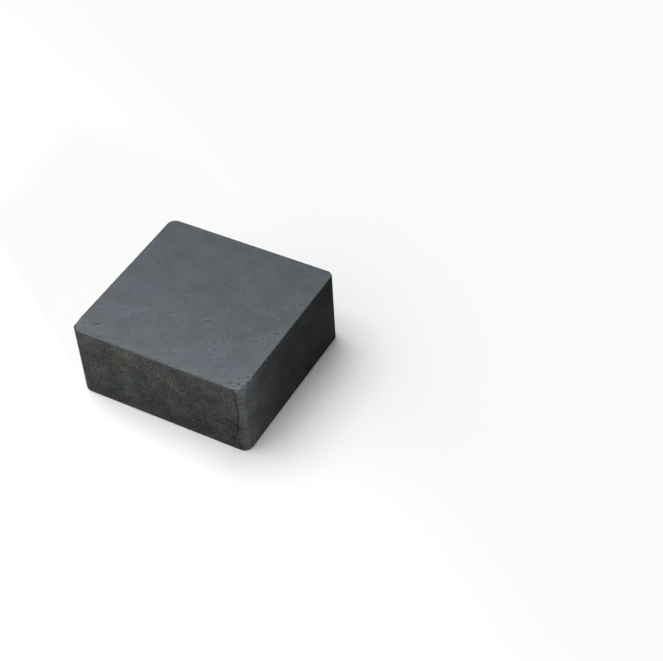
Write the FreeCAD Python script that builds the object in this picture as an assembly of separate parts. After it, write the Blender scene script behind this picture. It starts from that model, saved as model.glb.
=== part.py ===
import FreeCAD, Part
import math
import os

os.makedirs("parts", exist_ok=True)

# Block magnet of hard ferrite, a dark ceramic. The powder is pressed in a die and sintered, and
# the two pole faces are then ground, so the magnet is one solid, with no joints and no core.
# Lengths are in millimetres and angles in degrees. The origin is the middle of the underside,
# X runs along the longer side and Z is up. A corner is named by the signs of its X and Y.

# The block
length = 50.0
width = 47.0
thickness = 22.0
corner_radius = 2.4
edge_break = 0.3

# Chips of the top edge. The breadth runs along the edge, the setback inwards on the top face and
# the drop down the side. On a corner, the bearing is the turn from +X to the middle of the chip.

# Flake off the corner at minus X and minus Y
left_flake_bearing = 193.0
left_flake_breadth = 3.6
left_flake_setback = 0.48
left_flake_drop = 1.1

# Flake off the corner at plus X and minus Y, on the part of its arc beside the front side
front_flake_bearing = -68.0
front_flake_breadth = 2.8
front_flake_setback = 0.28
front_flake_drop = 0.8

# Shallow spall of the top face on the same corner, beside the plus X side
corner_spall_bearing = -8.0
corner_spall_breadth = 2.6
corner_spall_setback = 0.9
corner_spall_drop = 0.36

# Smaller spall next to it, on the straight edge of the plus X side
edge_spall_from_arc = 2.3
edge_spall_breadth = 1.8
edge_spall_setback = 0.5
edge_spall_drop = 0.38

# Nick in the straight edge of the front side, measured from the arc at minus X
front_nick_from_arc = 28.6
front_nick_breadth = 1.6
front_nick_setback = 0.34
front_nick_drop = 0.36

# Hairline crack that runs down the front side beside the corner at plus X. Its hollow starts
# above the top face and outside the surface, so that it opens cleanly there.
crack_width = 0.3
crack_depth = 0.2
crack_mouth_overrun = 0.2
crack_top_overrun = 0.6

# The crack's route, from the top to its tail. Each pair holds how far the crack lies from the
# line where the flat side meets the corner's arc, positive towards the corner, and how far down
# the side it is, as a share of the thickness.
crack_route = (
    (-0.25, 0.01),
    (0.45, 0.10),
    (0.55, 0.23),
    (0.80, 0.34),
    (0.40, 0.47),
    (0.30, 0.58),
    (0.25, 0.68),
    (-0.60, 0.78),
    (-2.40, 0.85),
)


def block_outline():
    """The block's outline at the underside: four straight sides joined by four equal arcs."""
    corners = ((1, 1, 0), (-1, 1, 90), (-1, -1, 180), (1, -1, 270))
    arcs = []
    for sign_x, sign_y, bearing in corners:
        centre = FreeCAD.Vector(
            sign_x * (length / 2 - corner_radius),
            sign_y * (width / 2 - corner_radius),
            0,
        )
        circle = Part.Circle(centre, FreeCAD.Vector(0, 0, 1), corner_radius)
        start, end = math.radians(bearing), math.radians(bearing + 90)
        arcs.append(Part.ArcOfCircle(circle, start, end).toShape())
    edges = []
    for place, arc in enumerate(arcs):
        next_arc = arcs[(place + 1) % len(arcs)]
        edges.append(arc)
        edges.append(Part.makeLine(arc.lastVertex().Point, next_arc.firstVertex().Point))
    return Part.Wire(edges)


def pressed_block():
    """The pressed and ground block, with the edges of both pole faces broken."""
    block = Part.Face(block_outline()).extrude(FreeCAD.Vector(0, 0, thickness))
    rims = []
    for edge in block.Edges:
        low, high = edge.BoundBox.ZMin, edge.BoundBox.ZMax
        if high - low < edge_break:
            rims.append(edge)
    return block.makeChamfer(edge_break, rims)


def corner_point(sign_x, sign_y, bearing):
    """A point of an upright corner's arc at the top face, and the direction out of the block."""
    outward = FreeCAD.Vector(math.cos(math.radians(bearing)), math.sin(math.radians(bearing)), 0)
    centre = FreeCAD.Vector(
        sign_x * (length / 2 - corner_radius),
        sign_y * (width / 2 - corner_radius),
        thickness,
    )
    return centre + outward * corner_radius, outward


def scoop(point, outward, breadth, setback, drop):
    """The hollow that a chip leaves: a ball that bites into the top edge at a point.

    The ball passes through the two ends of the breadth along the edge, the point at the setback
    on the top face and the point at the drop on the side, so the three sizes set its radius and
    how far its centre stands out from the edge and above it.
    """
    half = breadth / 2
    out = (half ** 2 - setback ** 2) / (2 * setback)
    up = (half ** 2 - drop ** 2) / (2 * drop)
    ball = Part.makeSphere(math.sqrt(out ** 2 + up ** 2 + half ** 2))
    # The ball's seam is turned away from the block
    bearing = math.degrees(math.atan2(outward.y, outward.x))
    ball.rotate(FreeCAD.Vector(0, 0, 0), FreeCAD.Vector(0, 0, 1), bearing)
    ball.translate(point + outward * out + FreeCAD.Vector(0, 0, up))
    return ball


def left_flake():
    """The flake of the corner at minus X and minus Y."""
    point, outward = corner_point(-1, -1, left_flake_bearing)
    return scoop(point, outward, left_flake_breadth, left_flake_setback, left_flake_drop)


def front_flake():
    """The flake of the corner at plus X and minus Y."""
    point, outward = corner_point(1, -1, front_flake_bearing)
    return scoop(point, outward, front_flake_breadth, front_flake_setback, front_flake_drop)


def corner_spall():
    """The spall of the top face on the corner at plus X and minus Y."""
    point, outward = corner_point(1, -1, corner_spall_bearing)
    return scoop(point, outward, corner_spall_breadth, corner_spall_setback, corner_spall_drop)


def edge_spall():
    """The spall of the top face beside that corner, on the straight edge at plus X."""
    along = corner_radius + edge_spall_from_arc - width / 2
    point = FreeCAD.Vector(length / 2, along, thickness)
    outward = FreeCAD.Vector(1, 0, 0)
    return scoop(point, outward, edge_spall_breadth, edge_spall_setback, edge_spall_drop)


def front_nick():
    """The nick in the straight edge of the front side."""
    along = corner_radius + front_nick_from_arc - length / 2
    point = FreeCAD.Vector(along, -width / 2, thickness)
    outward = FreeCAD.Vector(0, -1, 0)
    return scoop(point, outward, front_nick_breadth, front_nick_setback, front_nick_drop)


def crack_place(offset, share_down):
    """The point of the front side, or of the corner's arc, that the crack passes."""
    inset = corner_radius
    if offset > 0:
        inset = math.sqrt(corner_radius ** 2 - offset ** 2)
    return FreeCAD.Vector(
        length / 2 - corner_radius + offset,
        corner_radius - width / 2 - inset,
        thickness * (1 - share_down),
    )


def crack():
    """The crack's hollow: straight wedges end to end, which run out at the crack's tail."""
    outward = FreeCAD.Vector(0, -1, 0)
    places = [crack_place(offset, share_down) for offset, share_down in crack_route]
    places[0] += FreeCAD.Vector(0, 0, crack_top_overrun)
    # At the tail the wedge has risen until its edge lies on the surface
    places[-1] += outward * crack_depth
    across = FreeCAD.Vector(1, 0, 0)
    mouth_reach = crack_depth + crack_mouth_overrun
    half_mouth = crack_width / 2 * mouth_reach / crack_depth
    wedges = []
    for start, end in zip(places, places[1:]):
        tip = start - outward * crack_depth
        mouth = tip + outward * mouth_reach
        corners = [tip, mouth + across * half_mouth, mouth - across * half_mouth, tip]
        wedges.append(Part.Face(Part.makePolygon(corners)).extrude(end - start))
    return wedges


def ferrite_block():
    """The finished magnet: the block less its chips and its crack."""
    magnet = pressed_block()
    chips = [left_flake(), front_flake(), corner_spall(), edge_spall(), front_nick()]
    for hollow in chips + crack():
        magnet = magnet.cut(hollow)
    return magnet.Solids[0]


ferrite_block().exportStep("parts/ferrite_block.step")
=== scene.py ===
import math
import random

import bmesh
import bpy
from mathutils import Matrix, Vector


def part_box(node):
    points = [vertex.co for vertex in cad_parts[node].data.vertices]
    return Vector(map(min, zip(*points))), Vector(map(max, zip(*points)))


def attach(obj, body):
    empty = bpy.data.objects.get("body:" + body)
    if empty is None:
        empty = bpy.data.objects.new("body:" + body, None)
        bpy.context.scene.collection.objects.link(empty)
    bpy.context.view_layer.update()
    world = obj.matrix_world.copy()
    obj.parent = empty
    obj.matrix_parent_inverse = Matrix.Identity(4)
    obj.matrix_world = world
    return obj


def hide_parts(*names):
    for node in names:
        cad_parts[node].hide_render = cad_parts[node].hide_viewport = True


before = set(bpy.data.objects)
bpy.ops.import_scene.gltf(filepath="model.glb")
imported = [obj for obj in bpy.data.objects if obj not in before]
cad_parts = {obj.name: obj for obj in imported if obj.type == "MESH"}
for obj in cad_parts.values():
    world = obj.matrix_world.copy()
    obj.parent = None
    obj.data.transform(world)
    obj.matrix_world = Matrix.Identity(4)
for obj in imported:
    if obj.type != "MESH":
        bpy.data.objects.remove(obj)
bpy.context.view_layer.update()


# Camera
# It looks down on the front corner as the photograph does. Its place and its directions were
# fitted to the straight edges of the block in the photograph.
MM = 0.001
camera_place = Vector((173.32, -225.48, 285.73)) * MM
camera_right = Vector((0.87686, 0.47870, -0.04441))
camera_down = Vector((0.30825, -0.63070, -0.71218))
camera_forward = Vector((-0.36893, 0.61079, -0.70059))
focal_length_px = 1526.8
image_width_px = 663
sensor_width_mm = 36.0
nearest_in_view = 10 * MM

# The fit took the middle of the picture half a pixel too far right and down
off_axis = 0.5 / focal_length_px
look = (camera_forward - (camera_right + camera_down) * off_axis).normalized()
up = (-camera_down - look * look.dot(-camera_down)).normalized()
right = look.cross(up)

lens_data = bpy.data.cameras.new("camera")
lens_data.sensor_fit = "HORIZONTAL"
lens_data.sensor_width = sensor_width_mm
lens_data.lens = focal_length_px * sensor_width_mm / image_width_px
lens_data.clip_start = nearest_in_view
camera = bpy.data.objects.new("camera", lens_data)
bpy.context.scene.collection.objects.link(camera)
camera.matrix_world = Matrix.Translation(camera_place) @ Matrix((right, up, -look)).transposed().to_4x4()
bpy.context.scene.camera = camera


# Floor and light
# White paper in a light tent, under a large soft light from above. The tent is dark on the side
# that the block's right side faces, and the paper sends only part of its light back up. A lamp
# with a soft-edged beam stands low in front and lights the front side and the front corner.
floor_side = 6.0
paper_seen = (0.985, 0.985, 0.975, 1)
paper_bounce = (0.30, 0.30, 0.30, 1)
paper_roughness = 0.9
tent_bright = 0.75
tent_dark = 0.0
tent_dark_side = Vector((0.97, 0.26, 0.0))
tent_dark_from = -0.5
tent_dark_to = 0.45
key_strength = 2.04
key_softness_deg = 60
key_height_deg = 72
key_turn_left_deg = 45
fill_power = 25.0
fill_distance = 800 * MM
fill_bearing_deg = -30
fill_height_deg = 15
fill_aim = Vector((-13.6, -47.6, 11.0)) * MM
fill_reach = 60 * MM
fill_edge_share = 0.56
fill_radius = 40 * MM


def add_node(tree, kind, inputs=None, **settings):
    """Adds a node. Each input is given a value, or another node's socket to be linked to."""
    node = tree.nodes.new(kind)
    for name, value in settings.items():
        setattr(node, name, value)
    for socket, value in (inputs or {}).items():
        if isinstance(value, bpy.types.NodeSocket):
            tree.links.new(value, node.inputs[socket])
        else:
            node.inputs[socket].default_value = value
    return node


def arithmetic(tree, operation, *values):
    """A Math node's result."""
    return add_node(tree, "ShaderNodeMath", dict(enumerate(values)), operation=operation).outputs[0]


def product(tree, first, *others):
    """All the values multiplied."""
    for other in others:
        first = arithmetic(tree, "MULTIPLY", first, other)
    return first


def strongest(tree, first, *others):
    """The largest of the values."""
    for other in others:
        first = arithmetic(tree, "MAXIMUM", first, other)
    return first


def vector_math(tree, operation, *values, result="Vector"):
    """A Vector Math node's result, which is a vector or a value."""
    node = add_node(tree, "ShaderNodeVectorMath", dict(enumerate(values)), operation=operation)
    return node.outputs[result]


def blend_colours(tree, share, first, second, kind="MIX"):
    """A Mix node's colour. Sockets 0, 6 and 7 are its factor and its two colours."""
    inputs = {0: share, 6: first, 7: second}
    return add_node(tree, "ShaderNodeMix", inputs, data_type="RGBA", blend_type=kind).outputs[2]


def remap(tree, value, start, end, low=0.0, high=1.0, smooth=True):
    """A Map Range node's result: start and end become low and high, and nothing goes beyond them."""
    inputs = {"Value": value, "From Min": start, "From Max": end, "To Min": low, "To Max": high}
    kind = "SMOOTHSTEP" if smooth else "LINEAR"
    return add_node(tree, "ShaderNodeMapRange", inputs, interpolation_type=kind, clamp=True).outputs[0]


def seen_directly(tree):
    """One for the rays that show the background itself, straight or in a reflection."""
    rays = add_node(tree, "ShaderNodeLightPath").outputs
    return strongest(tree, rays["Is Camera Ray"], rays["Is Glossy Ray"], rays["Is Transmission Ray"])


def rising(level, height_deg):
    """The direction that rises by this angle from a level one."""
    height = math.radians(height_deg)
    return level * math.cos(height) + Vector((0, 0, math.sin(height)))


def add_lamp(name, kind, power, towards_lamp):
    """A lamp that shines down this direction."""
    data = bpy.data.lights.new(name, kind)
    data.energy = power
    lamp = bpy.data.objects.new(name, data)
    lamp.rotation_euler = towards_lamp.to_track_quat("Z", "Y").to_euler()
    bpy.context.scene.collection.objects.link(lamp)
    return lamp


paper = bpy.data.materials.new("white_paper")
paper.use_nodes = True
paper_shader = paper.node_tree.nodes["Principled BSDF"]
paper_shader.inputs["Roughness"].default_value = paper_roughness
paper_shader.inputs["Specular IOR Level"].default_value = 0.0
paper_colour = blend_colours(paper.node_tree, seen_directly(paper.node_tree), paper_bounce, paper_seen)
paper.node_tree.links.new(paper_colour, paper_shader.inputs["Base Color"])

bpy.ops.object.select_all(action="DESELECT")
bpy.ops.mesh.primitive_plane_add(size=floor_side, location=(0, 0, 0))
floor = bpy.context.object
floor.name = "floor"
floor.data.materials.append(paper)

world = bpy.data.worlds.new("tent")
world.use_nodes = True
bpy.context.scene.world = world
tree = world.node_tree
direction = add_node(tree, "ShaderNodeTexCoord").outputs["Generated"]
darkward = vector_math(tree, "DOT_PRODUCT", direction, tent_dark_side, result="Value")
strength = remap(tree, darkward, tent_dark_from, tent_dark_to, tent_bright, tent_dark)
strength = strongest(tree, strength, seen_directly(tree))
tree.nodes["Background"].inputs["Color"].default_value = (1, 1, 1, 1)
tree.links.new(strength, tree.nodes["Background"].inputs["Strength"])

# The key light's direction is turned from straight behind the block towards the left
behind = Vector((look.x, look.y, 0)).normalized()
left = -Vector((right.x, right.y, 0)).normalized()
turn = math.radians(key_turn_left_deg)
towards_key = rising(behind * math.cos(turn) + left * math.sin(turn), key_height_deg)
key = add_lamp("key", "SUN", key_strength, towards_key)
key.data.angle = math.radians(key_softness_deg)

bearing = math.radians(fill_bearing_deg)
towards_fill = rising(Vector((math.cos(bearing), math.sin(bearing), 0)), fill_height_deg)
fill = add_lamp("fill", "SPOT", fill_power, towards_fill)
fill.location = fill_aim + towards_fill * fill_distance
fill.data.spot_size = 2 * math.atan2(fill_reach, fill_distance)
fill.data.spot_blend = fill_edge_share
fill.data.shadow_soft_size = fill_radius
bpy.context.scene.view_settings.view_transform = "Standard"


# Ferrite block
# The body of the magnet: hard ferrite powder pressed in a die, sintered to a dark ceramic and
# ground on its two pole faces. The die rounds the upright corners, and handling rubs the rims.
low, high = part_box("ferrite_block")
corner_radius = 2.4 * MM
corner_steps = 18
side_steps = 15
longest_uncut = 0.5 * MM
rim_radius = 0.22 * MM
rim_steps = 4
frame_width = 0.15 * MM
near = 0.001 * MM
level_slope = 0.999
upright_slope = 0.1

# Handling has crumbled the rims: the size of each kind of unevenness, and how far points sink
rim_grain = [
    ("rim_wave", 2.4 * MM, 0.05 * MM), ("rim_crumble", 0.55 * MM, 0.07 * MM),
    ("rim_grit", 0.26 * MM, 0.04 * MM),
]


def deselect_all():
    """Deselects every object."""
    bpy.ops.object.select_all(action="DESELECT")


def select_edges(piece, wanted):
    """In edit mode, selects the edges whose two ends pass the test."""
    bpy.ops.mesh.select_mode(type="EDGE")
    bpy.ops.mesh.select_all(action="DESELECT")
    shape = bmesh.from_edit_mesh(piece.data)
    for edge in shape.edges:
        edge.select = wanted(edge.verts[0].co, edge.verts[1].co)
    shape.select_flush_mode()
    bmesh.update_edit_mesh(piece.data)


def select_faces(piece, wanted):
    """In edit mode, selects the faces that pass the test."""
    bpy.ops.mesh.select_mode(type="FACE")
    bpy.ops.mesh.select_all(action="DESELECT")
    shape = bmesh.from_edit_mesh(piece.data)
    for face in shape.faces:
        face.select = wanted(face)
    shape.select_flush_mode()
    bmesh.update_edit_mesh(piece.data)


# The die's outline: four straight sides, cut into short steps, and four rounded corners
deselect_all()
bpy.ops.mesh.primitive_plane_add(size=1, location=(0, 0, low.z))
block = bpy.context.object
block.name = "magnet_block"
block.scale = (high.x - low.x, high.y - low.y, 1)
bpy.ops.object.transform_apply(location=True, rotation=True, scale=True)
bpy.ops.object.mode_set(mode="EDIT")
bpy.ops.mesh.select_all(action="SELECT")
bpy.ops.mesh.bevel(offset=corner_radius, segments=corner_steps, profile=0.5, affect="VERTICES")
bpy.ops.mesh.select_all(action="SELECT")
bpy.ops.mesh.delete(type="ONLY_FACE")
for cut in range(2):
    select_edges(block, lambda a, b: (a - b).length > longest_uncut)
    bpy.ops.mesh.subdivide(number_cuts=side_steps - 1)

# Filled and drawn up to the block's height, with rounded rims, a flat frame round each pole face
# and a level cut through the sides beside each rim
bpy.ops.mesh.select_all(action="SELECT")
bpy.ops.mesh.edge_face_add()
bpy.ops.mesh.extrude_region_move(TRANSFORM_OT_translate={"value": (0, 0, high.z - low.z)})
bpy.ops.mesh.select_all(action="SELECT")
bpy.ops.mesh.normals_make_consistent(inside=False)
select_edges(block, lambda a, b: abs(a.z - b.z) < near)
bpy.ops.mesh.bevel(offset=rim_radius, segments=rim_steps, profile=0.5, affect="EDGES")
select_faces(block, lambda face: abs(face.normal.z) > level_slope)
bpy.ops.mesh.inset(thickness=frame_width, use_even_offset=True)
for level in (low.z + 2 * rim_radius, high.z - 2 * rim_radius):
    select_faces(block, lambda face: abs(face.normal.z) < upright_slope)
    bpy.ops.mesh.bisect(plane_co=(0, 0, level), plane_no=(0, 0, 1))
bpy.ops.object.mode_set(mode="OBJECT")


def wall_distance(place):
    """How far inside the upright wall a point lies."""
    across = abs(place.x) - (high.x - corner_radius)
    along = abs(place.y) - (high.y - corner_radius)
    outside = math.hypot(max(across, 0), max(along, 0))
    return corner_radius - outside - min(max(across, along), 0)


def roughen(piece, name, size, depth, level, group=""):
    """Moves the surface by a cloud texture. Where the texture has this level, nothing moves."""
    clouds = bpy.data.textures.new(name, "CLOUDS")
    clouds.noise_scale = size
    clouds.noise_depth = 3
    rough = piece.modifiers.new(name, "DISPLACE")
    rough.texture = clouds
    rough.texture_coords = "LOCAL"
    rough.strength = depth
    rough.mid_level = level
    rough.vertex_group = group
    bpy.context.view_layer.objects.active = piece
    bpy.ops.object.modifier_apply(modifier=rough.name)


on_rim = []
for corner in block.data.vertices:
    from_pole = min(high.z - corner.co.z, corner.co.z - low.z)
    if max(wall_distance(corner.co), from_pole) < rim_radius + near:
        on_rim.append(corner.index)
rim_group = block.vertex_groups.new(name="rim")
rim_group.add(on_rim, 1.0, "REPLACE")
for name, size, depth in rim_grain:
    roughen(block, name, size, depth, 1.0, group="rim")


# What all finishes of the block share. Their lengths are in millimetres.
def new_group(name, inputs, outputs):
    """A shader node group with named sockets, and its two end nodes."""
    group = bpy.data.node_groups.new(name, "ShaderNodeTree")
    for socket, kind, value in inputs:
        made = group.interface.new_socket(socket, in_out="INPUT", socket_type="NodeSocket" + kind)
        if value is not None:
            made.default_value = value
    for socket, kind in outputs:
        group.interface.new_socket(socket, in_out="OUTPUT", socket_type="NodeSocket" + kind)
    return group, group.nodes.new("NodeGroupInput").outputs, group.nodes.new("NodeGroupOutput").inputs


def use_group(tree, group, **inputs):
    """A group's outputs in a material. An underscore in an input's name stands for a space."""
    named = {name.replace("_", " "): value for name, value in inputs.items()}
    return add_node(tree, "ShaderNodeGroup", named, node_tree=group).outputs


def noise_node(tree, place, scale, detail, rough=0.5, curl=0.0, dimensions="3D"):
    """A Noise node's outputs."""
    inputs = {"Vector": place, "Scale": scale, "Detail": detail, "Roughness": rough, "Distortion": curl}
    return add_node(tree, "ShaderNodeTexNoise", inputs, noise_dimensions=dimensions).outputs


def noise(tree, place, size, detail=2.0, rough=0.5, offset=0.0, curl=0.0):
    """Noise with features of about the given size. The offset keeps one pattern from another."""
    shifted = vector_math(tree, "ADD", place, (offset, offset * 0.7, offset * 1.3))
    return noise_node(tree, shifted, 1 / size, detail, rough, curl)["Fac"]


def axes_of(tree, place):
    """The three coordinates of a place."""
    return add_node(tree, "ShaderNodeSeparateXYZ", {0: place}).outputs


def scaled(tree, vector, factor):
    """A vector or colour multiplied by a value."""
    return add_node(tree, "ShaderNodeVectorMath", {0: vector, 3: factor}, operation="SCALE").outputs[0]


def centred(tree, colour):
    """A noise colour as a shift to either side of nothing."""
    return vector_math(tree, "SUBTRACT", colour, (0.5, 0.5, 0.5))


def turned_about_z(tree, place, angle, back=False):
    """The place turned about the upright axis."""
    inputs = {"Vector": place, "Angle": angle}
    return add_node(tree, "ShaderNodeVectorRotate", inputs, rotation_type="Z_AXIS", invert=back).outputs[0]


def millimetres(tree):
    """The place on the block, in millimetres."""
    metres = add_node(tree, "ShaderNodeTexCoord").outputs["Object"]
    inputs = {"Vector": metres, "Scale": (1 / MM, 1 / MM, 1 / MM)}
    return add_node(tree, "ShaderNodeMapping", inputs).outputs[0]


def complement(tree, value):
    """One less the value."""
    return arithmetic(tree, "SUBTRACT", 1.0, value)


def weakened(tree, value, share):
    """A value from 0 to 1, drawn towards its middle where the share is less than one."""
    return arithmetic(tree, "MULTIPLY_ADD", arithmetic(tree, "SUBTRACT", value, 0.5), share, 0.5)


# Where a point of the block is: how far inside the upright walls, below the upper pole and above
# the lower one, near a rim, on a rounded corner, on the front side, on the right side, on the
# front corner, and how far from the front side. The masks fade over these lengths.
corner_fade = (0.4, 1.6)
side_fade = (0.9, 0.1)
front_corner_fade = (40.0, 44.0)
block_faces, entry, leave = new_group(
    "block_faces",
    [("Place", "Vector", None)],
    [("Inset", "Float"), ("Depth", "Float"), ("Height", "Float"), ("Rim", "Float"), ("Corner", "Float"),
     ("Front", "Float"), ("Right", "Float"), ("Front corner", "Float"), ("From corner", "Float")],
)
tree = block_faces
radius = corner_radius / MM
spread = vector_math(tree, "ABSOLUTE", entry["Place"])
flat_half = (high.x / MM - radius, high.y / MM - radius, 0)
past = axes_of(tree, vector_math(tree, "SUBTRACT", spread, flat_half))
level_x = arithmetic(tree, "MAXIMUM", past["X"], 0.0)
level_y = arithmetic(tree, "MAXIMUM", past["Y"], 0.0)
squares = arithmetic(tree, "ADD", product(tree, level_x, level_x), product(tree, level_y, level_y))
outside = arithmetic(tree, "SQRT", squares)
inside = arithmetic(tree, "MINIMUM", strongest(tree, past["X"], past["Y"]), 0.0)
inset = arithmetic(tree, "SUBTRACT", radius, arithmetic(tree, "ADD", outside, inside))
axes = axes_of(tree, entry["Place"])
depth = arithmetic(tree, "SUBTRACT", high.z / MM, axes["Z"])
nearer_pole = arithmetic(tree, "MINIMUM", depth, axes["Z"])
both_walls = arithmetic(tree, "MINIMUM", past["X"], past["Y"])
diagonal = arithmetic(tree, "SUBTRACT", axes["X"], axes["Y"])
front_edges = [low.y / MM + fade for fade in side_fade]
right_edges = [high.x / MM - fade for fade in side_fade]
tree.links.new(inset, leave["Inset"])
tree.links.new(depth, leave["Depth"])
tree.links.new(axes["Z"], leave["Height"])
tree.links.new(arithmetic(tree, "ADD", strongest(tree, inset, 0.0), nearer_pole), leave["Rim"])
tree.links.new(remap(tree, both_walls, *corner_fade), leave["Corner"])
tree.links.new(remap(tree, axes["Y"], *front_edges), leave["Front"])
tree.links.new(remap(tree, axes["X"], *right_edges), leave["Right"])
tree.links.new(remap(tree, diagonal, *front_corner_fade), leave["Front corner"])
tree.links.new(arithmetic(tree, "SUBTRACT", axes["Y"], low.y / MM), leave["From corner"])

# Fine powder grain: light and dark specks of one size, and finer ones for the relief
relief_fineness = 2.3
grain, entry, leave = new_group(
    "grain",
    [("Place", "Vector", None), ("Size", "Float", 0.4), ("Curl", "Float", 0.0)],
    [("Speck", "Float"), ("Relief", "Float")],
)
tree = grain
scale = arithmetic(tree, "DIVIDE", 1.0, entry["Size"])
speck = noise_node(tree, entry["Place"], scale, detail=3.0, rough=0.68, curl=entry["Curl"])["Fac"]
finer_scale = product(tree, scale, relief_fineness)
relief = noise_node(tree, entry["Place"], finer_scale, detail=3.0, rough=0.65)["Fac"]
tree.links.new(remap(tree, speck, 0.35, 0.65), leave["Speck"])
tree.links.new(relief, leave["Relief"])

# Lines that a grinding wheel leaves: arcs about a far centre, each of one width and one length
broad_line_scale = 0.17
grinding_lines, entry, leave = new_group(
    "grinding_lines",
    [("Place", "Vector", None), ("Wheel", "Vector", None), ("Reach", "Float", 300.0),
     ("Line width", "Float", 0.2), ("Line length", "Float", 6.0)],
    [("Lines", "Float"), ("Broad lines", "Float")],
)
tree = grinding_lines
away = vector_math(tree, "SUBTRACT", entry["Place"], entry["Wheel"])
level = vector_math(tree, "MULTIPLY", away, (1, 1, 0))
ring = vector_math(tree, "LENGTH", level, result="Value")
away = axes_of(tree, level)
arc = product(tree, arithmetic(tree, "ARCTAN2", away["Y"], away["X"]), entry["Reach"])
across = arithmetic(tree, "DIVIDE", ring, entry["Line width"])
along = arithmetic(tree, "DIVIDE", arc, entry["Line length"])
unrolled = add_node(tree, "ShaderNodeCombineXYZ", {0: across, 1: along}).outputs[0]
lines = noise_node(tree, unrolled, 1.0, detail=2.0, rough=0.6, dimensions="2D")["Fac"]
broad = noise_node(tree, unrolled, broad_line_scale, detail=1.0, dimensions="2D")["Fac"]
tree.links.new(remap(tree, lines, 0.3, 0.7, smooth=False), leave["Lines"])
tree.links.new(remap(tree, broad, 0.3, 0.7, smooth=False), leave["Broad lines"])

# Rubbed edge: strongest at the rim, and ragged where it ends
edge_wear, entry, leave = new_group(
    "edge_wear",
    [("Place", "Vector", None), ("Rim", "Float", 0.0), ("Width", "Float", 0.5)],
    [("Wear", "Float")],
)
tree = edge_wear
ragged = noise(tree, entry["Place"], 0.9, detail=3.0, rough=0.6)
reach = product(tree, entry["Width"], remap(tree, ragged, 0.3, 0.7, 0.35, 1.5, smooth=False))
share = arithmetic(tree, "DIVIDE", entry["Rim"], reach)
tree.links.new(remap(tree, share, 0.55, 1.15, 1.0, 0.0), leave["Wear"])

# Scattered spots: small pits or specks of dust, each in a cell of its own
cell_bend = 0.45
spots, entry, leave = new_group(
    "spots",
    [("Place", "Vector", None), ("Spacing", "Float", 2.0), ("Size", "Float", 0.2), ("Share", "Float", 0.5)],
    [("Spot", "Float")],
)
tree = spots
bend = scaled(tree, centred(tree, noise_node(tree, entry["Place"], 2.6, detail=1.0)["Color"]), cell_bend)
bent = vector_math(tree, "ADD", entry["Place"], bend)
scale = arithmetic(tree, "DIVIDE", 1.0, entry["Spacing"])
cells = add_node(tree, "ShaderNodeTexVoronoi", {"Vector": bent, "Scale": scale})
distance = product(tree, cells.outputs["Distance"], entry["Spacing"])
cell = add_node(tree, "ShaderNodeSeparateColor", {0: cells.outputs["Color"]}).outputs
chosen = arithmetic(tree, "LESS_THAN", cell["Red"], entry["Share"])
size = product(tree, entry["Size"], remap(tree, cell["Green"], 0.0, 1.0, 0.5, 1.4, smooth=False))
spot = remap(tree, arithmetic(tree, "DIVIDE", distance, size), 0.6, 1.2, 1.0, 0.0)
tree.links.new(product(tree, spot, chosen), leave["Spot"])

# One mark at a known place on a flat face: an oval with a ragged outline, turned in that face
mark, entry, leave = new_group(
    "mark",
    [("Flat", "Vector", None), ("Middle", "Vector", None), ("Turn", "Float", 0.0),
     ("Half size", "Vector", None), ("Blur", "Float", 0.5), ("Ragged", "Float", 0.5)],
    [("Mark", "Float")],
)
tree = mark
wobble = centred(tree, noise_node(tree, entry["Flat"], 1.3, detail=3.0, dimensions="2D")["Color"])
wobble = scaled(tree, wobble, entry["Ragged"])
local = vector_math(tree, "SUBTRACT", entry["Flat"], entry["Middle"])
local = turned_about_z(tree, vector_math(tree, "ADD", local, wobble), entry["Turn"], back=True)
local = vector_math(tree, "DIVIDE", local, entry["Half size"])
local = vector_math(tree, "MULTIPLY", local, (1, 1, 0))
oval = vector_math(tree, "LENGTH", local, result="Value")
inner = complement(tree, entry["Blur"])
outer = arithmetic(tree, "ADD", 1.0, entry["Blur"])
tree.links.new(remap(tree, oval, inner, outer, 1.0, 0.0), leave["Mark"])


def marks_at(tree, flat, marks, blur, ragged=0.5):
    """The strongest of several marks. Each is (across, up, turn in degrees, half length, half breadth)."""
    total = 0.0
    for across, up_face, turn_deg, half_length, half_breadth in marks:
        made = use_group(
            tree, mark, Flat=flat, Middle=(across, up_face, 0), Turn=math.radians(turn_deg),
            Half_size=(half_length, half_breadth, 1.0), Blur=blur, Ragged=ragged,
        )
        total = strongest(tree, total, made["Mark"])
    return total


def flat_place(tree, place, across, up_face):
    """Two of the place's three coordinates, as the flat coordinates of one face."""
    axes = axes_of(tree, place)
    return add_node(tree, "ShaderNodeCombineXYZ", {0: axes[across], 1: axes[up_face]}).outputs[0]


def new_finish(name, roughness, specular):
    """A material of the block, its nodes, its shader and the place on the block."""
    finish = bpy.data.materials.new(name)
    finish.use_nodes = True
    tree = finish.node_tree
    shader = tree.nodes["Principled BSDF"]
    shader.inputs["Roughness"].default_value = roughness
    shader.inputs["Specular IOR Level"].default_value = specular
    return finish, tree, shader, millimetres(tree)


def add_relief(tree, shader, heights):
    """Bump from heights in millimetres."""
    total = 0.0
    for value, height in heights:
        total = arithmetic(tree, "MULTIPLY_ADD", value, height, total)
    bump = add_node(tree, "ShaderNodeBump", {"Height": total, "Distance": MM, "Strength": 1.0})
    tree.links.new(bump.outputs[0], shader.inputs["Normal"])


def shade_by(tree, colour, *shades):
    """The colour made darker or lighter in turn by each (value from 0 to 1, its factor at 0, at 1)."""
    for value, at_none, at_full in shades:
        colour = scaled(tree, colour, remap(tree, value, 0.0, 1.0, at_none, at_full, smooth=False))
    return colour


def tint_by(tree, colour, *tints):
    """The colour multiplied in turn by each tint, as far as its share says."""
    for share, tint in tints:
        colour = blend_colours(tree, share, colour, (*tint, 1), kind="MULTIPLY")
    return colour


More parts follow.
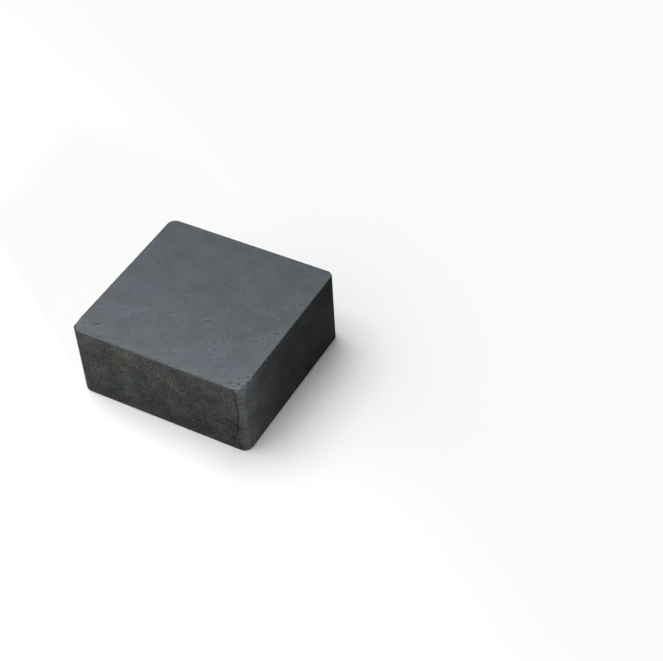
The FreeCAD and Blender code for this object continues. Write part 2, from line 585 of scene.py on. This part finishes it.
# Colour of rubbed rims: real wear, and where the front rims are brightened also a painted highlight
rubbed_and_highlight_colour = (0.094, 0.104, 0.110, 1)

# Upper pole face: ground and then worn smooth, slate blue with faint wheel marks and small dents
# Dark marks, painted shade, most of them at the dents and pits cut into the face below
painted_shade_marks = (
    (-19.9, -19.15, 26, 1.05, 0.30), (-16.8, -22.6, 20, 0.34, 0.26), (4.6, -6.1, 74, 0.60, 0.26),
    (5.6, -5.9, -24, 0.80, 0.26), (22.7, -2.3, 30, 0.42, 0.22), (-19.4, 5.6, 60, 0.35, 0.25),
    (-20.4, -8.9, 35, 0.45, 0.25), (5.3, 0.2, 15, 0.40, 0.18), (16.8, 20.5, 40, 0.40, 0.30),
    (24.7, -19.5, 70, 0.34, 0.20), (23.8, -18.2, 60, 0.30, 0.20), (23.1, -21.2, 20, 0.45, 0.24),
    (24.9, -21.5, 40, 0.28, 0.20),
)
scratches = (
    (12.4, -13.2, 98, 1.1, 0.10), (11.3, -8.6, 101, 0.9, 0.10), (13.6, -9.8, 99, 1.3, 0.10),
    (10.2, -14.8, 100, 1.4, 0.10), (15.0, -14.0, 97, 0.9, 0.10), (17.3, -18.9, 93, 1.3, 0.12),
    (5.5, -21.1, 156, 0.8, 0.12), (8.6, -18.6, 102, 1.2, 0.10), (-16.0, -14.0, 60, 1.1, 0.10),
    (20.6, 12.6, 110, 0.9, 0.14), (19.6, 17.9, 100, 0.8, 0.14), (-18.3, -4.1, 80, 1.2, 0.12),
    (24.6, -14.8, 88, 1.1, 0.14),
)
flecks = (
    (3.95, -5.35, 25, 0.26, 0.18), (-17.4, -21.6, 20, 0.5, 0.14), (23.8, -19.4, 60, 0.34, 0.20),
    (24.2, -20.7, 50, 0.36, 0.20), (24.65, -17.2, 86, 0.70, 0.16), (23.4, -22.75, 15, 0.55, 0.14),
    (24.6, -18.9, 86, 0.40, 0.16), (22.3, -23.0, 10, 0.40, 0.12), (-24.3, -19.2, 80, 0.24, 0.13),
)
violet_patches = (
    (0.7, 4.4, 60, 3.6, 1.8), (-8.9, 19.8, 10, 5.5, 2.4), (-1.7, 18.0, 40, 2.6, 1.6),
    (-10.0, 8.4, 50, 1.2, 1.2), (11.0, 3.6, 50, 1.8, 0.8), (16.0, -7.5, 60, 2.4, 0.9),
    (9.3, -4.4, 50, 1.4, 0.7),
)
green_patches = (
    (-14.6, 4.4, 40, 1.4, 1.0), (-7.2, 0.5, 50, 1.4, 1.1), (14.6, -1.5, 20, 2.0, 1.2),
    (14.0, -11.5, 70, 1.6, 0.9), (-12.0, -5.6, 60, 1.6, 0.8),
)
bluish_patches = (
    (-15.5, -2.5, 40, 5.0, 2.6), (-16.0, -13.0, 20, 4.5, 3.5), (15.0, -18.0, 30, 4.0, 2.6),
    (-17.0, 1.0, 20, 1.4, 1.0),
)
worn_patches = (
    (12.0, -13.0, 100, 6.5, 4.5), (4.5, 8.5, 30, 5.5, 3.2), (18.9, 4.0, 80, 5.0, 2.2),
    (-14.0, -11.5, 40, 4.5, 2.6), (-17.5, 8.0, 60, 4.0, 3.0), (-3.0, -9.0, 10, 6.0, 2.2),
    (19.0, -6.5, 40, 3.5, 1.8),
)
dark_slate = (0.037, 0.050, 0.064, 1)
light_slate = (0.044, 0.058, 0.072, 1)
greenish_edge = (0.053, 0.067, 0.065, 1)
patch_share = 0.8
stroke_turn_deg = 16
stroke_stretch = (1.0, 0.34, 1.0)
upper_pole, tree, shader, place = new_finish("ground_upper_pole", 0.3, 0.5)
flat = flat_place(tree, place, "X", "Y")
faces = use_group(tree, block_faces, Place=place)
powder = use_group(tree, grain, Place=place, Size=0.34)
lines = use_group(
    tree, grinding_lines, Place=place, Wheel=(600.0, 106.0, 0.0), Reach=610.0,
    Line_width=0.26, Line_length=2.4)
wear = use_group(tree, edge_wear, Place=place, Rim=faces["Rim"], Width=0.55)["Wear"]
# Small dents, painted darker inside as their shade
dents = use_group(tree, spots, Place=place, Spacing=1.9, Size=0.32, Share=0.40)["Spot"]
specks = use_group(tree, spots, Place=place, Spacing=3.7, Size=0.15, Share=0.3)["Spot"]
painted_shade_in_marks = marks_at(tree, flat, painted_shade_marks, 0.45)
scratched = marks_at(tree, flat, scratches, 0.5)
flecked = marks_at(tree, flat, flecks, 0.5)
clouded = noise(tree, place, 1.5, detail=4.0, rough=0.62, offset=3.0)
uneven = remap(tree, noise(tree, place, 5.0, offset=31.0), 0.35, 0.65)
# Painted light: the face is made lighter towards the front and darker towards the back
painted_light_front_share = remap(tree, axes_of(tree, place)["Y"], 20.0, -20.0, smooth=False)

# Short strokes nearly along Y, and wheel marks, strong in the worn patches and weak between them
worn = remap(tree, noise(tree, place, 5.0, offset=12.0), 0.48, 0.62, 0.0, 0.7)
worn = strongest(tree, marks_at(tree, flat, worn_patches, 0.5, ragged=2.5), worn)
stroke_share = remap(tree, worn, 0.0, 1.0, 0.18, 1.0, smooth=False)
drawn_out = turned_about_z(tree, place, math.radians(stroke_turn_deg))
drawn_out = vector_math(tree, "MULTIPLY", drawn_out, stroke_stretch)
strokes = noise(tree, drawn_out, 0.52, detail=2.5, rough=0.62, offset=41.0, curl=0.3)
strokes = weakened(tree, remap(tree, strokes, 0.34, 0.66), stroke_share)
line_shade = weakened(tree, lines["Lines"], stroke_share)

slate_share = remap(tree, noise(tree, place, 12.0, detail=3.0), 0.35, 0.65)
colour = blend_colours(tree, slate_share, dark_slate, light_slate)
for patches, blur, ragged, tint in (
    (violet_patches, 0.5, 2.5, (1.04, 0.94, 0.98)),
    (green_patches, 0.5, 1.5, (1.02, 1.04, 0.92)),
    (bluish_patches, 0.6, 3.0, (1.02, 1.04, 1.10)),
):
    share = product(tree, marks_at(tree, flat, patches, blur, ragged), patch_share)
    colour = tint_by(tree, colour, (share, tint))
edge_share = product(
    tree, remap(tree, faces["Inset"], 0.3, 2.6, 1.0, 0.0),
    remap(tree, noise(tree, place, 3.0, offset=7.0), 0.35, 0.6, 0.1, 0.7))
colour = blend_colours(tree, edge_share, colour, greenish_edge)
colour = shade_by(
    tree, colour, (line_shade, 0.82, 1.18), (strokes, 0.77, 1.23), (powder["Speck"], 0.93, 1.07),
    (remap(tree, clouded, 0.3, 0.7, smooth=False), 0.91, 1.09), (uneven, 0.89, 1.11),
    (painted_light_front_share, 0.92, 1.06), (dents, 1.0, 0.82), (specks, 1.0, 0.40), (painted_shade_in_marks, 1.0, 0.6),
    (scratched, 1.0, 1.5), (flecked, 1.0, 2.2),
)

# The rims in front and at plus X are rubbed, and painted brighter as a highlight, and a thin line of
# painted shade lies along the others
front_or_right = strongest(tree, faces["Front"], faces["Right"])
rubbed_rim_and_highlight = strongest(tree, front_or_right, faces["Front corner"])
rubbed_rim_and_highlight = product(tree, rubbed_rim_and_highlight, remap(tree, painted_light_front_share, 0.2, 0.9, 0.1, 1.0))
colour = blend_colours(tree, product(tree, wear, rubbed_rim_and_highlight), colour, rubbed_and_highlight_colour)
# Painted shade: a thin dark line along the rims at minus X and plus Y, which are also made rougher
painted_rim_shade = product(
    tree, complement(tree, front_or_right), complement(tree, faces["Front corner"]),
    remap(tree, faces["Inset"], 0.34, 0.58, 1.0, 0.0),
    remap(tree, noise(tree, place, 0.8, detail=3.0, offset=61.0), 0.3, 0.5, 0.5, 1.0))
colour = shade_by(tree, colour, (painted_rim_shade, 1.0, 0.15))
roughness = arithmetic(tree, "MULTIPLY_ADD", powder["Relief"], 0.14, 0.14)
roughness = arithmetic(tree, "MULTIPLY_ADD", painted_rim_shade, 0.6, roughness)
tree.links.new(colour, shader.inputs["Base Color"])
tree.links.new(roughness, shader.inputs["Roughness"])
add_relief(tree, shader, [
    (powder["Relief"], 0.008), (line_shade, 0.007), (dents, -0.02), (specks, -0.03), (clouded, 0.014),
    (painted_shade_in_marks, -0.02), (strokes, 0.014)])

# Lower pole face: freshly ground, with the wheel's long curved lines and open pores
dark_ground = (0.068, 0.079, 0.088, 1)
light_ground = (0.088, 0.099, 0.108, 1)
brownish_edge = (0.075, 0.074, 0.060, 1)
lower_pole, tree, shader, place = new_finish("ground_lower_pole", 0.36, 0.5)
faces = use_group(tree, block_faces, Place=place)
powder = use_group(tree, grain, Place=place, Size=0.3)
lines = use_group(
    tree, grinding_lines, Place=place, Wheel=(120.0, 210.0, 0.0), Reach=242.0,
    Line_width=0.22, Line_length=9.0)
wear = use_group(tree, edge_wear, Place=place, Rim=faces["Rim"], Width=0.6)["Wear"]
pores = use_group(tree, spots, Place=place, Spacing=2.6, Size=0.2, Share=0.35)["Spot"]
ground_share = remap(tree, noise(tree, place, 12.0, detail=3.0), 0.35, 0.65)
colour = blend_colours(tree, ground_share, dark_ground, light_ground)
edge_share = product(
    tree, remap(tree, faces["Inset"], 0.3, 2.4, 0.6, 0.0),
    remap(tree, noise(tree, place, 2.4, offset=9.0), 0.4, 0.65))
colour = blend_colours(tree, edge_share, colour, brownish_edge)
colour = shade_by(
    tree, colour, (lines["Broad lines"], 0.82, 1.18), (lines["Lines"], 0.84, 1.16),
    (powder["Speck"], 0.95, 1.05), (pores, 1.0, 0.4))
colour = blend_colours(tree, product(tree, wear, 0.6), colour, rubbed_and_highlight_colour)
roughness = arithmetic(tree, "MULTIPLY_ADD", lines["Lines"], 0.16, 0.26)
tree.links.new(colour, shader.inputs["Base Color"])
tree.links.new(roughness, shader.inputs["Roughness"])
add_relief(tree, shader, [
    (powder["Relief"], 0.006), (lines["Lines"], 0.012), (lines["Broad lines"], 0.008), (pores, -0.05)])

# Sides and rounded corners: the speckled matt skin that the die and the furnace leave. The
# patches are on the front side, where up is above the underside.
teal_patches = (
    (-13.0, 4.6, -4, 7.5, 3.2), (-21.5, 9.0, 80, 3.6, 2.4), (-7.5, 10.8, 40, 2.6, 1.4),
    (19.5, 13.4, 80, 3.0, 2.4),
)
brown_patches = (
    (2.6, 12.2, 70, 4.8, 4.2), (-16.6, 18.6, 30, 2.0, 0.8), (-10.8, 9.6, 30, 2.0, 0.9),
    (19.5, 6.4, 20, 2.6, 1.8),
)
violet_skin_patches = (
    (-3.0, 5.6, 30, 1.8, 1.2), (14.2, 4.0, 20, 2.6, 1.8), (-18.5, 14.5, 40, 2.4, 1.4),
    (17.6, 18.2, 20, 2.2, 1.3),
)
olive_patches = (
    (9.2, 16.4, 80, 1.5, 0.8), (13.2, 9.4, 60, 1.4, 0.8), (-10.8, 16.4, 60, 3.4, 2.6),
    (-3.0, 2.6, 10, 1.6, 0.6),
)
dark_patches = (
    (0.6, 19.1, 5, 1.0, 0.42), (7.2, 16.6, 80, 1.8, 1.0), (12.4, 17.2, 20, 1.3, 0.6),
    (6.0, 3.6, 5, 5.5, 1.8), (14.0, 3.6, 20, 3.2, 1.6), (-20.1, 7.5, 20, 0.7, 0.5),
    (-14.0, 3.0, 5, 7.0, 1.8), (20.6, 1.2, 10, 2.6, 0.7),
)
pale_patches = ((17.8, 18.4, 20, 2.2, 1.4), (19.6, 13.2, 80, 3.0, 2.4), (-21.5, 18.5, 30, 3.4, 1.8))
smooth_patches = (
    (-21.0, 18.8, 10, 4.2, 2.2), (19.2, 13.0, 80, 3.4, 1.6), (14.5, 19.0, 5, 3.0, 1.0),
    (3.5, 9.5, 60, 1.4, 1.0),
)
greenish_skin = (0.0525, 0.0575, 0.0552, 1)
brownish_skin = (0.0568, 0.0564, 0.0528, 1)
upper_band_sheen_colour = (0.064, 0.070, 0.068, 1)
front_patch_share = 0.9
side_skin, tree, shader, place = new_finish("pressed_skin", 0.6, 0.03)
flat = flat_place(tree, place, "X", "Z")
faces = use_group(tree, block_faces, Place=place)
powder = use_group(tree, grain, Place=place, Size=0.46, Curl=0.8)
wear = use_group(tree, edge_wear, Place=place, Rim=faces["Rim"], Width=0.5)["Wear"]
specks = use_group(tree, spots, Place=place, Spacing=4.2, Size=0.18, Share=0.25)["Spot"]
blotches = noise(tree, place, 2.6, detail=4.0, rough=0.6, offset=8.0, curl=0.4)
broad_blotches = noise(tree, place, 6.5, detail=3.0, rough=0.55, offset=51.0)


def on_front(marks, blur, ragged, share):
    """Marks of the front side alone."""
    return product(tree, marks_at(tree, flat, marks, blur, ragged), faces["Front"], share)


brown_share = noise(tree, place, 6.0, detail=4.0, rough=0.6, offset=2.0, curl=0.5)
brown_share = remap(tree, brown_share, 0.42, 0.58)
colour = blend_colours(tree, brown_share, greenish_skin, brownish_skin)
violet = remap(tree, noise(tree, place, 4.2, detail=3.0, offset=17.0), 0.56, 0.68, 0.0, 0.7)
colour = tint_by(tree, colour, (violet, (1.01, 0.965, 1.02)))
for patches, blur, ragged, tint in (
    (teal_patches, 0.5, 3.0, (0.955, 1.01, 1.02)),
    (brown_patches, 0.5, 3.0, (1.015, 0.99, 0.95)),
    (violet_skin_patches, 0.5, 2.0, (1.03, 0.98, 1.06)),
    (olive_patches, 0.5, 2.0, (1.0, 1.02, 0.94)),
    (dark_patches, 0.6, 2.5, (0.80, 0.80, 0.80)),
    (pale_patches, 0.6, 2.5, (1.12, 1.12, 1.12)),
):
    colour = tint_by(tree, colour, (on_front(patches, blur, ragged, front_patch_share), tint))

# The grain and the blotches are weaker in the bands along both poles, on the rounded corners, in
# rubbed and smooth patches and on the right side
right_calm = product(tree, remap(tree, faces["From corner"], 1.0, 9.0, 0.40, 0.70), faces["Right"])
grain_share = product(
    tree, remap(tree, faces["Depth"], 0.7, 2.4, 0.2, 1.0), remap(tree, faces["Height"], 0.3, 1.8, 0.5, 1.0),
    remap(tree, noise(tree, place, 3.4, offset=23.0), 0.40, 0.55, 0.6, 1.0),
    complement(tree, on_front(smooth_patches, 0.4, 2.0, 0.8)),
    remap(tree, faces["Corner"], 0.0, 1.0, 1.0, 0.5), complement(tree, right_calm))
blotch_share = complement(tree, product(tree, 0.8, strongest(tree, right_calm, faces["Corner"])))
speck = weakened(tree, powder["Speck"], grain_share)
uneven = weakened(tree, remap(tree, blotches, 0.3, 0.7, smooth=False), blotch_share)
broad_uneven = remap(tree, broad_blotches, 0.3, 0.7, smooth=False)
colour = shade_by(tree, colour, (speck, 0.30, 1.70), (uneven, 0.72, 1.28), (broad_uneven, 0.74, 1.26))

# The front corner is painted paler than the rest all the way down, as the light that falls on it,
# and so is the right side beside it. Farther back the right side is painted darker, as shadow, with a
# violet band under its rim.
painted_light_on_corner = product(tree, faces["Corner"], faces["Front corner"])
# Painted shade: the sides lighter at the top and darker towards the bottom, less so on the front corner
painted_shade_downward = product(
    tree, remap(tree, faces["Depth"], 0.5, 21.0, smooth=False),
    remap(tree, painted_light_on_corner, 0.0, 1.0, 1.0, 0.35))
painted_light_beside_corner = product(
    tree, faces["Right"], remap(tree, faces["From corner"], 0.3, 1.3),
    remap(tree, faces["From corner"], 2.0, 8.5, 1.0, 0.0))
painted_shadow_farther_back = product(tree, faces["Right"], remap(tree, faces["From corner"], 2.0, 22.0))
violet_band = product(
    tree, faces["Right"], remap(tree, faces["Depth"], 0.8, 2.4, 1.0, 0.0),
    remap(tree, faces["From corner"], 4.0, 22.0, 1.0, 0.3))
colour = shade_by(tree, colour, (painted_shade_downward, 1.12, 0.83))
# Painted sheen: a band under the upper rim is made lighter
colour = blend_colours(tree, remap(tree, faces["Depth"], 0.3, 1.8, 0.5, 0.0), colour, upper_band_sheen_colour)
# Painted light on the front corner and beside it, painted shadow farther back on the right side
colour = tint_by(
    tree, colour, (painted_light_on_corner, (1.27, 1.35, 1.37)), (painted_light_beside_corner, (1.34, 1.34, 1.36)),
    (painted_shadow_farther_back, (0.56, 0.56, 0.58)), (violet_band, (1.18, 1.20, 1.40)))
colour = shade_by(tree, colour, (specks, 1.0, 0.5))

# The front rims are rubbed, and painted brighter as a highlight, and a band of painted shade lies along the
# others
in_front = strongest(tree, faces["Front"], painted_light_on_corner)
rubbed_rim_and_highlight = product(tree, wear, remap(tree, in_front, 0.0, 1.0, 0.1, 0.7))
colour = blend_colours(tree, rubbed_rim_and_highlight, colour, rubbed_and_highlight_colour)
painted_rim_shade = product(tree, remap(tree, faces["Depth"], 0.22, 0.42, 1.0, 0.0), complement(tree, in_front))
colour = shade_by(tree, colour, (painted_rim_shade, 1.0, 0.4))
roughness = arithmetic(tree, "MULTIPLY_ADD", powder["Relief"], 0.2, 0.52)
tree.links.new(colour, shader.inputs["Base Color"])
tree.links.new(roughness, shader.inputs["Roughness"])
add_relief(tree, shader, [(powder["Relief"], 0.045), (speck, 0.012), (blotches, 0.06), (specks, -0.04)])

# Broken ferrite: the coarse inside, with pale crushed powder on its edges
dark_crystals = (0.028, 0.032, 0.038, 1)
crushed_powder = (0.125, 0.136, 0.146, 1)
broken, tree, shader, place = new_finish("broken_ferrite", 0.6, 0.35)
crystals = use_group(tree, grain, Place=place, Size=0.24, Curl=0.5)
colour = blend_colours(tree, crystals["Speck"], dark_crystals, crushed_powder)
colour = shade_by(tree, colour, (noise(tree, place, 0.8, detail=3.0), 0.45, 1.5))
roughness = arithmetic(tree, "MULTIPLY_ADD", crystals["Relief"], 0.3, 0.4)
tree.links.new(colour, shader.inputs["Base Color"])
tree.links.new(roughness, shader.inputs["Roughness"])
add_relief(tree, shader, [(crystals["Relief"], 0.05)])


def matt_finish(name, roughness, specular, mottle_size, contrast, darker, lighter, relief_size, height):
    """A matt finish that is mottled in two shades and slightly rough."""
    finish, tree, shader, place = new_finish(name, roughness, specular)
    share = remap(tree, noise(tree, place, mottle_size), 0.5 - contrast, 0.5 + contrast)
    tree.links.new(blend_colours(tree, share, (*darker, 1), (*lighter, 1)), shader.inputs["Base Color"])
    add_relief(tree, shader, [(noise(tree, place, relief_size), height)])
    return finish


# Dents in the upper face, duller than the face around them, small pits, darker inside, and the
# crack's walls, which are dark
dented = matt_finish(
    "dented_ferrite", 0.7, 0.12, 0.4, 0.15, (0.045, 0.052, 0.060), (0.078, 0.087, 0.096), 0.2, 0.02)
pitted = matt_finish(
    "pitted_ferrite", 0.8, 0.1, 0.3, 0.15, (0.016, 0.018, 0.020), (0.050, 0.055, 0.060), 0.15, 0.02)
crack_wall = matt_finish(
    "crack_wall", 0.9, 0.05, 0.3, 0.2, (0.014, 0.015, 0.015), (0.034, 0.036, 0.035), 0.15, 0.03)

UPPER, LOWER, SIDE = range(3)
for finish in (upper_pole, lower_pole, side_skin):
    block.data.materials.append(finish)
pole_slope = 0.9
for face in block.data.polygons:
    face.material_index = SIDE
    if abs(face.normal.z) > pole_slope:
        face.material_index = UPPER if face.normal.z > 0 else LOWER


# Chips, nicks and dents
# Flakes and spalls that knocks have broken off the upper edge, at the corners on the left and in
# front and beside them, small nicks all along both rims, and dents in the upper face. Each is a
# rough ball that bites into the block.
chip_grain = [("chip_shell", 0.9 * MM, 0.16 * MM), ("chip_grain", 0.25 * MM, 0.05 * MM)]
nick_grain = [("nick_grain", 0.22 * MM, 0.05 * MM)]
chip_ball_steps = 6
dent_ball_steps = 3
nicks_per_side = 14
shortest_nick = 0.15 * MM
longest_nick = 0.5 * MM
nick_room = 1.3 * longest_nick
nick_breadth_shares = (0.5, 0.8)
nick_depths_mm = (0.05, 0.11)

# In millimetres and degrees: (across, along, turn, half length, half breadth, depth)
face_dents = (
    (-19.9, -19.15, 26, 1.0, 0.34, 0.06), (4.6, -6.1, 74, 0.55, 0.24, 0.05),
    (5.6, -5.9, -24, 0.7, 0.24, 0.05), (5.3, 0.2, 15, 0.4, 0.22, 0.05),
    (16.8, 20.5, 40, 0.40, 0.30, 0.06), (-20.4, -8.9, 35, 0.45, 0.25, 0.05),
    (19.1, -6.7, 28, 0.5, 0.22, 0.04), (24.3, -16.4, 85, 0.45, 0.20, 0.07),
    (20.9, -21.9, 30, 0.40, 0.22, 0.05),
)
face_pits = (
    (-16.8, -22.6, 20, 0.34, 0.24, 0.10), (22.7, -2.3, 30, 0.34, 0.20, 0.09),
    (23.76, -18.2, 60, 0.26, 0.20, 0.10), (23.1, -21.2, 20, 0.34, 0.24, 0.09),
    (22.1, -19.7, 30, 0.24, 0.16, 0.06), (24.5, -19.8, 70, 0.24, 0.18, 0.08),
    (22.3, -22.5, 10, 0.26, 0.16, 0.07), (-22.6, -20.3, 60, 0.26, 0.16, 0.05),
)


def corner_point(sign_x, sign_y, bearing):
    """A point of an upright corner's arc at the upper face, and the direction out of the block."""
    outward = Vector((math.cos(math.radians(bearing)), math.sin(math.radians(bearing)), 0))
    middle = Vector((sign_x * (high.x - corner_radius), sign_y * (high.y - corner_radius), high.z))
    return middle + outward * corner_radius, outward


def rough_ball(middle, size, turn, steps, finish, grains):
    """A ball of three half sizes, turned, placed and roughened."""
    deselect_all()
    bpy.ops.mesh.primitive_ico_sphere_add(subdivisions=steps, radius=1, location=(0, 0, 0))
    ball = bpy.context.object
    ball.matrix_world = Matrix.Translation(middle) @ turn.to_4x4() @ Matrix.Diagonal((*size, 1))
    bpy.ops.object.transform_apply(location=True, rotation=True, scale=True)
    ball.data.materials.append(finish)
    for name, grain_size, depth in grains:
        roughen(ball, name, grain_size, depth, 0.5)
    return ball


def chip(point, outward, breadth, setback, drop):
    """The rough ball that takes this much along the edge, off the face and down the side."""
    half = breadth / 2
    out = (half ** 2 - setback ** 2) / (2 * setback)
    rise = (half ** 2 - drop ** 2) / (2 * drop)
    middle = point + outward * out + Vector((0, 0, rise))
    size = [math.sqrt(out ** 2 + rise ** 2 + half ** 2)] * 3
    return rough_ball(middle, size, Matrix.Identity(3), chip_ball_steps, broken, chip_grain)


def dent(point, outward, along, half_length, half_breadth, depth, finish):
    """A small rough oval that goes this deep into the surface at a point.

    Its middle stands 1.5 depths out of the surface and it reaches 2.5 depths from there, so that
    the surface cuts it at 0.8 of its widest.
    """
    across = outward.cross(along).normalized()
    along = across.cross(outward).normalized()
    turn = Matrix((along, across, outward.normalized())).transposed()
    middle = point + outward.normalized() * 1.5 * depth
    size = (1.25 * half_length, 1.25 * half_breadth, 2.5 * depth)
    return rough_ball(middle, size, turn, dent_ball_steps, finish, nick_grain)


def cut_away(piece, tools):
    """Cuts the tools' shapes out of the piece, with their own materials on the cuts."""
    deselect_all()
    for tool in tools:
        tool.select_set(True)
    bpy.context.view_layer.objects.active = tools[0]
    if len(tools) > 1:
        bpy.ops.object.join()
    cut = piece.modifiers.new("cut", "BOOLEAN")
    cut.object = tools[0]
    cut.operation = "DIFFERENCE"
    cut.solver = "EXACT"
    cut.material_mode = "TRANSFER"
    bpy.context.view_layer.objects.active = piece
    bpy.ops.object.modifier_apply(modifier=cut.name)
    bpy.data.objects.remove(tools[0])


# Flake off the left corner, flake and spall of the front corner, spall and nick beside them. The
# last three numbers are the breadth, the setback and the drop, in millimetres.
right_edge = (Vector((high.x, low.y + corner_radius + 2.3 * MM, high.z)), Vector((1, 0, 0)))
front_edge = (Vector((low.x + corner_radius + 28.6 * MM, low.y, high.z)), Vector((0, -1, 0)))
for (point, outward), breadth, setback, drop in (
    (corner_point(-1, -1, 183), 3.4, 0.40, 1.0),
    (corner_point(1, -1, -68), 2.8, 0.28, 0.8),
    (corner_point(1, -1, -8), 2.6, 0.9, 0.36),
    (right_edge, 1.8, 0.5, 0.38),
    (front_edge, 1.6, 0.34, 0.36),
):
    cut_away(block, [chip(point, outward, breadth * MM, setback * MM, drop * MM)])

# Nicks in the rims of both pole faces. Each has a stretch of the straight side to itself, so that
# no two overlap, and lies anywhere in it.
chance = random.Random(11)
nicks = []
for level, lift in ((high.z, 1), (low.z, -1)):
    for side in range(4):
        turned = Matrix.Rotation(math.radians(90 * side), 3, "Z")
        outward = turned @ Vector((1, 0, 0))
        along = turned @ Vector((0, 1, 0))
        slope = (outward + Vector((0, 0, lift))).normalized()
        reach = high.x if side % 2 == 0 else high.y
        half_run = (high.y if side % 2 == 0 else high.x) - corner_radius
        stretch = 2 * half_run / nicks_per_side
        play = stretch / 2 - nick_room
        for number in range(nicks_per_side):
            way = (number + 0.5) * stretch - half_run + chance.uniform(-play, play)
            point = outward * reach + along * way + Vector((0, 0, level))
            # From the sharp edge in to the rounded rim
            point -= slope * rim_radius * (math.sqrt(2) - 1)
            half_length = chance.uniform(shortest_nick, longest_nick)
            half_breadth = half_length * chance.uniform(*nick_breadth_shares)
            depth = chance.uniform(*nick_depths_mm) * MM
            nicks.append(dent(point, slope, along, half_length, half_breadth, depth, broken))
cut_away(block, nicks)

# Dents and pits in the upper face
upward = Vector((0, 0, 1))
for places, finish in ((face_dents, dented), (face_pits, pitted)):
    dents = []
    for across, along, turn_deg, half_length, half_breadth, depth in places:
        turn = math.radians(turn_deg)
        point = Vector((across * MM, along * MM, high.z))
        lengthwise = Vector((math.cos(turn), math.sin(turn), 0))
        dents.append(dent(
            point, upward, lengthwise, half_length * MM, half_breadth * MM, depth * MM, finish))
    cut_away(block, dents)

# Notch in the rim at minus X, just behind the flake of the left corner
notch_place = Vector((low.x + 0.1 * MM, -19.9 * MM, high.z - 0.1 * MM))
notch = dent(
    notch_place, outward=Vector((-1, 0, 1)), along=Vector((0, 1, 0)),
    half_length=0.5 * MM, half_breadth=0.6 * MM, depth=0.3 * MM, finish=broken)
cut_away(block, [notch])


# Crack
# A hairline crack that runs down the front side beside the front corner and turns away from it
# at its tail. It is cut with a thin bent rod, flattened so that it goes in deeper than it is wide.
crack_half_width = 0.11 * MM
crack_depth_share = 1.8
crack_jitter = 0.09 * MM
crack_step = 0.35 * MM
crack_overrun = 1 * MM
crack_unevenness = (0.75, 1.15)

# It gapes at one place and gets thinner over its last third. Places are shares of its length.
gape_place = 0.17
gape_reach = 0.05
gape_share = 0.5
thinning_start = 2.1
thinning_rate = 1.75

# From the top to the tail: how far it lies from the line where the flat side meets the corner's
# arc, in millimetres and positive towards the corner, and how far down, as a share of the height
crack_route = (
    (-0.25, 0.00), (0.45, 0.10), (0.55, 0.23), (0.80, 0.34), (0.40, 0.47),
    (0.30, 0.58), (0.25, 0.68), (-0.60, 0.78), (-2.40, 0.85),
)


def crack_place(offset, share_down, sideways=0.0):
    """A point of the rod's line, which is on the surface once the rod is flattened."""
    reach = offset * MM + sideways
    inset = corner_radius - math.sqrt(corner_radius ** 2 - max(reach, 0) ** 2)
    across = high.x - corner_radius + reach
    return Vector((across, low.y + inset / crack_depth_share, high.z * (1 - share_down)))


wander = random.Random(5)
rod_line = []
for (offset, share), (next_offset, next_share) in zip(crack_route, crack_route[1:]):
    run = math.hypot((next_offset - offset) * MM, (next_share - share) * high.z)
    steps = max(2, round(run / crack_step))
    for step in range(steps):
        part = step / steps
        here = offset + (next_offset - offset) * part
        down = share + (next_share - share) * part
        rod_line.append(crack_place(here, down, wander.uniform(-crack_jitter, crack_jitter)))
rod_line.append(crack_place(*crack_route[-1]))
rod_line.insert(0, rod_line[0] + Vector((0, 0, crack_overrun)))

rod_curve = bpy.data.curves.new("crack_rod", "CURVE")
rod_curve.dimensions = "3D"
rod_curve.bevel_depth = crack_half_width
rod_curve.bevel_resolution = 2
rod_curve.use_fill_caps = True
spline = rod_curve.splines.new("POLY")
spline.points.add(len(rod_line) - 1)
for number, (rod_point, place) in enumerate(zip(spline.points, rod_line)):
    rod_point.co = (*place, 1)
    share = number / (len(rod_line) - 1)
    gape = gape_share * math.exp(-((share - gape_place) / gape_reach) ** 2)
    width = min(1.0, thinning_start - thinning_rate * share) + gape
    rod_point.radius = width * wander.uniform(*crack_unevenness)
rod = bpy.data.objects.new("crack_rod", rod_curve)
bpy.context.scene.collection.objects.link(rod)
deselect_all()
rod.select_set(True)
bpy.context.view_layer.objects.active = rod
bpy.ops.object.convert(target="MESH")
rod = bpy.context.object
for corner in rod.data.vertices:
    corner.co.y = low.y + (corner.co.y - low.y) * crack_depth_share
rod.data.materials.append(crack_wall)
cut_away(block, [rod])

# Cut edges stay crisp, the ground poles are shaded flat and all other faces smooth
bpy.context.view_layer.objects.active = block
bpy.ops.object.mode_set(mode="EDIT")
bpy.ops.mesh.select_mode(type="EDGE")
bpy.ops.mesh.select_all(action="DESELECT")
shape = bmesh.from_edit_mesh(block.data)
crisp_finishes = (broken, pitted, crack_wall)
fresh = {number for number, finish in enumerate(block.data.materials) if finish in crisp_finishes}
for face in shape.faces:
    heights = [corner.co.z for corner in face.verts]
    in_pole = min(heights) > high.z - near or max(heights) < low.z + near
    face.smooth = not in_pole
for edge in shape.edges:
    kinds = {face.material_index in fresh for face in edge.link_faces}
    edge.smooth = len(kinds) == 1
bmesh.update_edit_mesh(block.data)
bpy.ops.object.mode_set(mode="OBJECT")

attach(block, "root")
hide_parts("ferrite_block")
